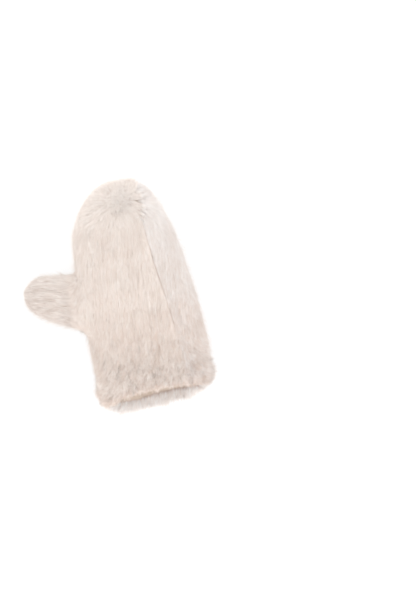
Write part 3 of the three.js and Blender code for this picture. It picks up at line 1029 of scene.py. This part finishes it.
def ribbon_piece(name, pile, rows):
    """These rows of the pile as one piece. Each hair is a quad and a pointed end."""
    root, middle, tip = pile.places[rows], pile.middle[rows], pile.tip[rows]
    side, normals = pile.side[rows], pile.normals[rows]
    half = side * pile.width[rows, None] / 2
    narrower = half * MIDDLE_WIDTH
    points = np.stack(
        (root - half, root + half, middle + narrower, middle - narrower, tip), 1)
    mesh = ribbon_faces(name, points)
    map_ribbons(mesh, pile.tone[rows], pile.pale[rows])
    own = unit(np.cross(side, tip - root))
    own *= np.sign((own * normals).sum(1, keepdims=True))
    shown = unit(normals * (1 - OWN_FACING) + own * OWN_FACING + pile.sway[rows])
    mesh.normals_split_custom_set_from_vertices(np.repeat(shown, RIBBON_POINTS, axis=0))
    return new_piece(name, mesh)


# Finishes


class Wire:
    """One socket of a node tree. Sums and products with it add Math nodes."""

    def __init__(self, tree, socket):
        self.tree, self.socket = tree, socket

    def feed(self, place):
        """Links this socket to another one."""
        self.tree.links.new(self.socket, place)

    def maths(self, operation, *values):
        """The outcome of a Math node."""
        node = self.tree.nodes.new("ShaderNodeMath")
        node.operation = operation
        for place, value in zip(node.inputs, values):
            put(place, value)
        return Wire(self.tree, node.outputs[0])

    def __add__(self, other):
        return self.maths("ADD", self, other)

    def __sub__(self, other):
        return self.maths("SUBTRACT", self, other)

    def __rsub__(self, other):
        return self.maths("SUBTRACT", other, self)

    def __mul__(self, other):
        return self.maths("MULTIPLY", self, other)

    __radd__, __rmul__ = __add__, __mul__


def put(place, value):
    """Links a wire to a socket, or sets the socket's own value."""
    if isinstance(value, Wire):
        value.feed(place)
    else:
        place.default_value = value


class Finish:
    """A material with one Principled surface, and the nodes that feed it."""

    def __init__(self, name):
        self.material = bpy.data.materials.new(name)
        self.material.use_nodes = True
        self.tree = self.material.node_tree

    def node(self, kind, settings, sockets, output=0):
        """Adds a node: its type, its settings, then the values or links of its sockets."""
        node = self.tree.nodes.new(kind)
        for name, value in settings.items():
            setattr(node, name, value)
        for name, value in sockets.items():
            put(node.inputs[name], value)
        return Wire(self.tree, node.outputs[output])

    def blend(self, share, low, high):
        """The colour low where share is 0, and high where it is 1."""
        sockets = {0: share, 6: low, 7: high}
        return self.node("ShaderNodeMix", {"data_type": "RGBA"}, sockets, output=2)

    def noise(self, place, scale, detail):
        """A noise between 0 and 1."""
        return self.node("ShaderNodeTexNoise", {}, {"Vector": place, "Scale": scale, "Detail": detail})

    def part(self, vector, number):
        """One of the three parts of a vector."""
        return self.node("ShaderNodeSeparateXYZ", {}, {0: vector}, output=number)

    def surface(self, sockets):
        """Sets the surface's sockets. The material is then done."""
        for name, value in sockets.items():
            put(self.tree.nodes["Principled BSDF"].inputs[name], value)
        return self.material


def opaque(colour):
    """A colour with its fourth number."""
    return (*colour, 1)


def fur_finish(name):
    """Pile whose colour runs from its root to its tip and differs a little between hairs."""
    tip_dark, tip_light, root_colour = (opaque(colour) for colour in FUR_COLOURS[name])
    fur = Finish(name)
    mapped = fur.node("ShaderNodeUVMap", {"uv_map": "OFBake"}, {})
    tips = fur.blend(fur.part(mapped, 0), tip_dark, tip_light)
    ramp = fur.node("ShaderNodeMapRange", {"interpolation_type": "SMOOTHSTEP"}, {
        "Value": fur.part(mapped, 1), "From Min": 0, "From Max": TIP_HEIGHT,
    })
    return fur.surface({
        "Base Color": fur.blend(ramp, root_colour, tips), "Roughness": 0.7,
        "Sheen Weight": 0.35, "Sheen Roughness": 0.4,
    })


def hide_finish():
    """Woolly undercoat outside and soft matt hide in the hollow, dark there as painted shade."""
    hide = Finish("hide")
    place = hide.node("ShaderNodeTexCoord", {}, {}, output=3)
    grain = hide.noise(place, GRAIN_SCALE, GRAIN_DETAIL)
    cloud = hide.noise(place, CLOUD_SCALE, CLOUD_DETAIL)
    outside = hide.node("ShaderNodeAttribute", {"attribute_name": "outside"}, {}, output=2)
    # The suede in the hollow is dark: painted shade for the inside of the mouth.
    shaded_suede = hide.blend(cloud, *(opaque(colour) for colour in SHADED_SUEDE_COLOURS))
    wool = hide.blend(cloud, *(opaque(colour) for colour in WOOL_COLOURS))
    height = outside * cloud + (1 - outside) * GRAIN_HEIGHT * grain
    bump = hide.node("ShaderNodeBump", {}, {
        "Height": height, "Distance": BUMP_DEPTH, "Strength": BUMP_STRENGTH,
    })
    return hide.surface({
        "Base Color": hide.blend(outside, shaded_suede, wool), "Normal": bump, "Roughness": 0.9,
        "Sheen Weight": 0.2,
    })


def paper_finish():
    """Matt white paper that glows a little."""
    grey = opaque((PAPER_GREY, PAPER_GREY, PAPER_GREY))
    return Finish("paper").surface({
        "Base Color": grey, "Roughness": 0.9, "Emission Strength": PAPER_GLOW,
    })


# Pieces


def dress(piece, finish):
    """Gives a piece its one finish."""
    piece.data.materials.clear()
    piece.data.materials.append(finish)


def add_hides(whole):
    """Cuts the whole hide into the three panels' hides."""
    finish = hide_finish()
    for node, piece in panel_hides(whole).items():
        dress(piece, finish)
        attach(piece, "root")
        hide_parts(node)


def rows_of_panels(places):
    """Which hairs each panel's pile takes."""
    x, y, z = places.T
    on_thumb = x < thumb_x(y)
    on_back = (x < seam_x(y)) & (z > EDGE_SEAM_HEIGHT) & ~on_thumb
    return {"back_fur": on_back, "palm_fur": ~on_back & ~on_thumb, "thumb_fur": on_thumb}


def add_pile(pile):
    """Adds the pile of each panel, in bunches from the cuff to the fingertips."""
    for panel, belongs in rows_of_panels(pile.places).items():
        finish = fur_finish(panel)
        order = np.flatnonzero(belongs)
        order = order[np.argsort(pile.places[order, 1])]
        bunches = np.array_split(order, max(1, math.ceil(len(order) / BUNCH)))
        for number, bunch in enumerate(bunches):
            piece = ribbon_piece(f"{panel}_{number + 1}", pile, bunch)
            dress(piece, finish)
            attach(piece, "root")


def add_mitten():
    """The three hides and the pile on them."""
    rng = np.random.default_rng(SEED)
    whole, outside = whole_hide()
    roots = scatter(whole, outside, rng)
    add_hides(whole)
    add_pile(Pile(*roots, rng))


# Floor, light and camera


def add_floor():
    """The paper under the mitten."""
    bpy.ops.mesh.primitive_plane_add(size=FLOOR_SIZE)
    floor = bpy.context.object
    floor.name = "floor"
    dress(floor, paper_finish())


def add_light():
    """Even white light all round and the soft lamps, which point at the mitten."""
    world = bpy.data.worlds.new("studio")
    bpy.context.scene.world = world
    world.use_nodes = True
    sky = world.node_tree.nodes["Background"]
    sky.inputs["Color"].default_value = opaque((1, 1, 1))
    sky.inputs["Strength"].default_value = SKY_STRENGTH
    bpy.context.scene.view_settings.view_transform = "Standard"
    for name, lamp in LAMPS.items():
        bpy.ops.object.light_add(type="AREA", location=lamp["place"])
        light = bpy.context.object
        light.name = name
        light.data.size = LAMP_SIZE
        light.data.energy = lamp["power"]
        light.rotation_euler = (-Vector(lamp["place"])).to_track_quat("-Z", "Y").to_euler()


def add_camera():
    """The camera, straight above the mitten."""
    height = VIEW_LEVEL + VIEW_HEIGHT * LENS_MM / SENSOR_MM
    bpy.ops.object.camera_add(location=(*VIEW_CENTRE, height), rotation=(0, 0, -LEAN))
    camera = bpy.context.object
    camera.data.lens = LENS_MM
    camera.data.sensor_width = SENSOR_MM
    bpy.context.scene.camera = camera


add_mitten()
add_floor()
add_light()
add_camera()
